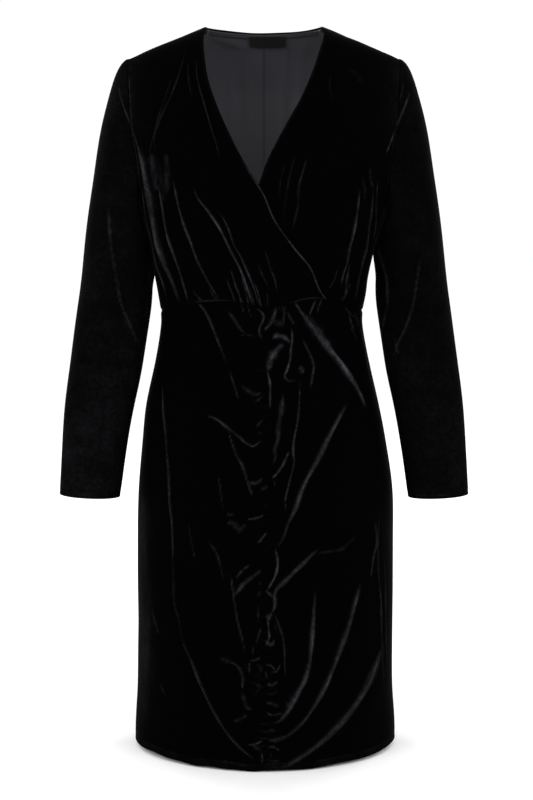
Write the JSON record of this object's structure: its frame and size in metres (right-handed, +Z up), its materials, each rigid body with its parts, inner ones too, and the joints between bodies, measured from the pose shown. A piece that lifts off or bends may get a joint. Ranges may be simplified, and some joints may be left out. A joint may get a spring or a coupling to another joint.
{
  "type": "bodycon dress",
  "caption": "Knee-length velvet sheath dress, crossed wrap front, gathered centre front seam, long sleeves, filled-out hollow form",
  "frame": {"origin": "midway between the two high points of the neck, at their height, where the wearer's shoulders carry the dress", "axes": "+Z up along the dress, front faces -Y, +X is the wearer's left"},
  "size_m": [0.5566, 0.2597, 0.9774],
  "materials": {
    "velvet": "black stretch velvet, short lustrous pile",
    "lining": "smooth dark grey lining jersey",
    "tape": "matt woven tape",
    "label": "bare woven label"
  },
  "bodies": {
    "root": {"front_bodice_right": "velvet", "front_bodice_left": "velvet", "back_bodice": "velvet", "front_skirt_right": "velvet", "front_skirt_left": "velvet", "back_skirt": "velvet", "sleeve_right": "velvet", "sleeve_left": "velvet", "back_lining_right": "lining", "back_lining_left": "lining", "back_neck_tape": "tape", "neck_label": "label"}
  },
  "joints": []
}
